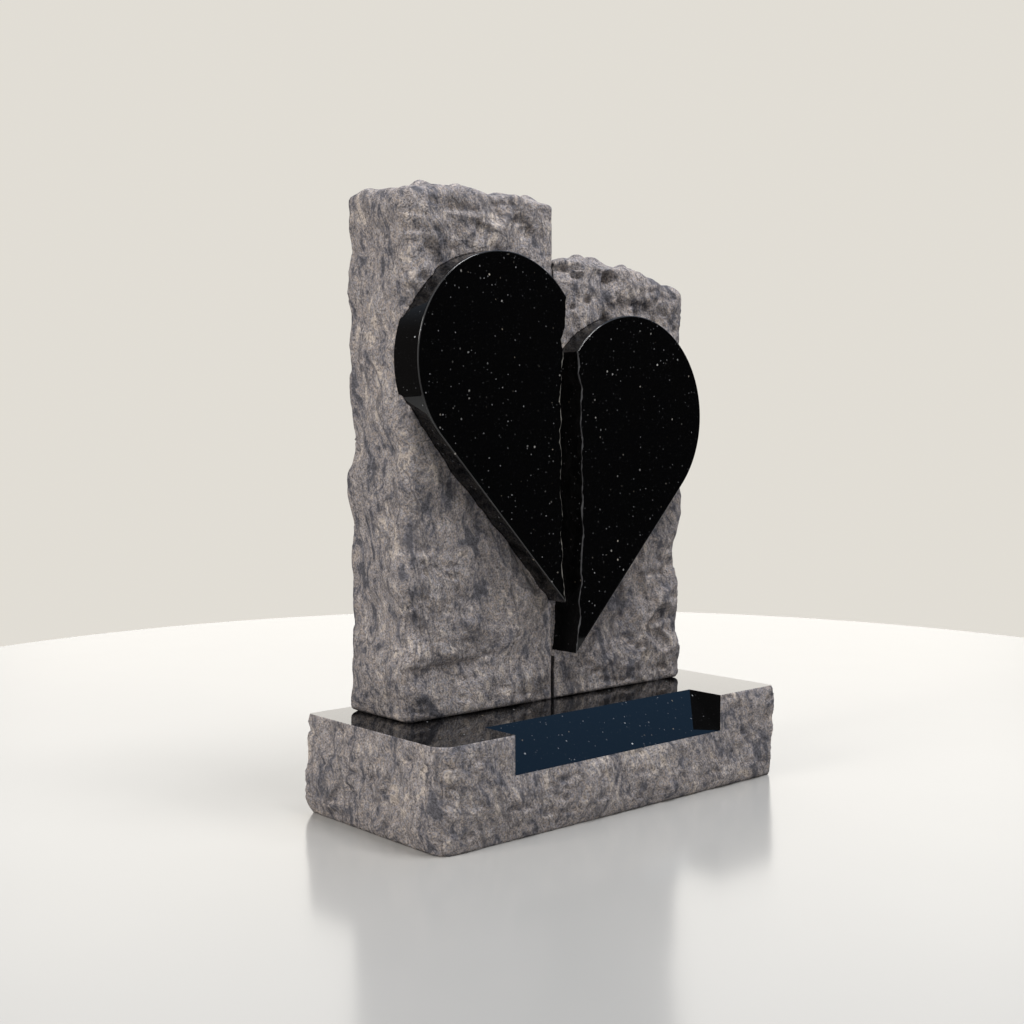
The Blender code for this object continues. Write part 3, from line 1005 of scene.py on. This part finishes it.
def make_half(name, node, side, tip, seed, corner_finish):
    """One half of the heart: a slab with a rounded front edge and a broken face at the split.
    corner_finish goes on the front corner of the break."""
    front = PILLAR_FRONT + HEART_INSET - HEART_THICKNESS
    span = HEART_THICKNESS - HEART_ARRIS
    turns = [math.pi / 2 * turn / ARRIS_ROWS for turn in range(ARRIS_ROWS + 1)]
    layers = [(HEART_ARRIS * (1.0 - math.cos(turn)), HEART_ARRIS * (1.0 - math.sin(turn))) for turn in turns]
    layers += [(HEART_ARRIS + span * row / DEPTH_ROWS, 0.0) for row in range(1, DEPTH_ROWS + 1)]
    work = bmesh.new()
    rings = []
    for depth, inset in layers:
        ring = half_ring(side, depth, inset, seed)
        rings.append([work.verts.new((point.x, front + depth, tip + point.y)) for point in ring])
    work.faces.new(rings[0]).material_index = FRONT
    work.faces.new(rings[-1][::-1]).material_index = FRONT
    for layer, (near, far) in enumerate(zip(rings, rings[1:])):
        for i in range(len(near)):
            face = work.faces.new([near[i], near[i - 1], far[i - 1], far[i]])
            face.smooth = True
            on_break = 0 < i <= SPLIT_ROWS
            if layer < ARRIS_ROWS:
                face.material_index = BRUISED if on_break else EDGE
            else:
                face.material_index = BROKEN if on_break else FRONT
    bmesh.ops.recalc_face_normals(work, faces=work.faces[:])
    mesh = bpy.data.meshes.new(name)
    work.to_mesh(mesh)
    work.free()
    for finish in (polished_granite, eased_granite_painted_sheen, corner_finish, broken_granite):
        mesh.materials.append(finish)
    mesh.set_sharp_from_angle(angle=math.radians(38.0))
    for face in mesh.polygons:
        face.use_smooth = len(face.vertices) == 4
    half = bpy.data.objects.new(name, mesh)
    bpy.context.scene.collection.objects.link(half)
    hand_over(half, node)
    return half


LEFT_START = Vector((0.7, 4.9, 2.2))
RIGHT_START = Vector((2.1, 14.7, 6.6))
# The left half's break corner gets the paler copy, with a painted highlight in its colour. The right half's
# gets the plain bruised finish.
left_half = make_half("polished_left_half", "left_heart_half", -1, LEFT_TIP, LEFT_START, bruised_granite_painted_highlight)
right_half = make_half("polished_right_half", "right_heart_half", 1, RIGHT_TIP, RIGHT_START, bruised_granite)

# %% [markdown]
# ## Floor and light
# The stone stands on a plain pale floor. Polished black stone shows little of its own: what gives it
# shape is what it mirrors. So the surroundings are pale behind the stone, bluish overhead
# and dark to the front right, which is where the heart's faces look from this side. A large
# soft lamp on the left makes the left sides brighter than the fronts, and two weaker ones light the
# fronts and the tops.

# %% Floor
FLOOR_RADIUS = 1.9
FLOOR_ROUGHNESS = 0.16
FLOOR_TONES = [(0.46, 0.45, 0.43, 1.0), (0.48, 0.47, 0.45, 1.0)]

pale_floor, shader, place = new_finish("pale_floor", FLOOR_ROUGHNESS)
feed(shader, "Base Color", place.mixed(place.fractal(place, 3.0), *FLOOR_TONES))
work = bmesh.new()
bmesh.ops.create_circle(work, cap_ends=True, segments=128, radius=FLOOR_RADIUS)
mesh = bpy.data.meshes.new("floor")
work.to_mesh(mesh)
work.free()
mesh.materials.append(pale_floor)
floor = bpy.data.objects.new("floor", mesh)
floor.location = (0.35, 0.35, -0.0005)
bpy.context.scene.collection.objects.link(floor)
floor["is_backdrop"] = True
print("the floor is", FLOOR_RADIUS * 2, "m across")

# %% Surroundings
GROUND_GLOW = (0.15, 0.145, 0.14, 1.0)
BACKDROP = (0.755, 0.725, 0.665, 1.0)
GLOWS = {
    "overhead": ((0.0, 0.0, 1.0), -0.1, 0.6, (0.18, 0.21, 0.25, 1.0)),
    "mirrored in the desk": ((0.66, 0.04, 0.75), 0.75, 0.95, (0.13, 0.29, 0.53, 1.0)),
    "mirrored in sides that face left": ((-0.66, 0.75, -0.06), 0.70, 0.93, (0.060, 0.055, 0.052, 1.0)),
    "mirrored in the base's top": ((0.64, 0.72, 0.25), 0.82, 0.95, (1.85, 1.78, 1.66, 1.0)),
    "mirrored in the heart's faces": ((0.66, -0.75, -0.05), 0.45, 0.85, (0.010, 0.010, 0.010, 1.0)),
    "from the left": ((-0.85, -0.2, 0.5), 0.55, 0.9, (0.70, 0.68, 0.66, 1.0)),
}

world = bpy.data.worlds.new("studio")
bpy.context.scene.world = world
world.use_nodes = True
world.node_tree.nodes.clear()
sky = Value(world.node_tree)
way = sky.make("ShaderNodeTexCoord", output=0)


def glow(direction, low, high):
    """1 in the given direction, fading to 0 as the cosine of the angle from it drops to low."""
    toward = way.make("ShaderNodeVectorMath", {"operation": "DOT_PRODUCT"}, {0: way, 1: direction}, output=1)
    return toward.step(low, high)


surroundings = GROUND_GLOW
for direction, low, high, colour in GLOWS.values():
    surroundings = sky.mixed(glow(direction, low, high), surroundings, colour)
seen = sky.make("ShaderNodeLightPath", output=0)
backdrop = sky.mixed(seen, surroundings, BACKDROP)
lit = sky.make("ShaderNodeBackground", {}, {"Color": backdrop, "Strength": 1.0})
world.node_tree.links.new(lit.socket, world.node_tree.nodes.new("ShaderNodeOutputWorld").inputs[0])
bpy.context.scene.view_settings.view_transform = "Standard"
print("surroundings have", len(world.node_tree.nodes), "nodes")


# %% Lamps
def soft_lamp(name, place, aim, width, watts, colour):
    """A large square lamp at place that faces aim."""
    lamp = bpy.data.lights.new(name, "AREA")
    lamp.size = width
    lamp.energy = watts
    lamp.color = colour
    holder = bpy.data.objects.new(name, lamp)
    holder.location = place
    holder.rotation_euler = (Vector(aim) - Vector(place)).to_track_quat("-Z", "Y").to_euler()
    bpy.context.scene.collection.objects.link(holder)


soft_lamp("left_lamp", (-3.4, 0.3, 2.4), (0.0, 0.0, 0.5), 1.2, 68.0, (1.0, 0.97, 0.94))
soft_lamp("front_lamp", (1.2, -3.0, 2.0), (0.2, 0.0, 0.3), 0.7, 31.0, (1.0, 0.98, 0.96))
soft_lamp("top_lamp", (0.2, -0.9, 3.0), (0.0, 0.0, 0.5), 1.0, 58.0, (0.99, 0.99, 1.0))
print("three soft lamps")

# %% [markdown]
# ## Check the size
# The finished stones must not reach past the solids. The far corners of both boxes are compared, and
# how far the stones stand out past the solids is printed in millimetres.

# %% Boxes
made_low, made_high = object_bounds()
past = [max(made - solid, 0.0) * 1000 for made, solid in zip(made_high, solid_high)]
print("stand-out past the solids in mm:", [round(length, 2) for length in past])
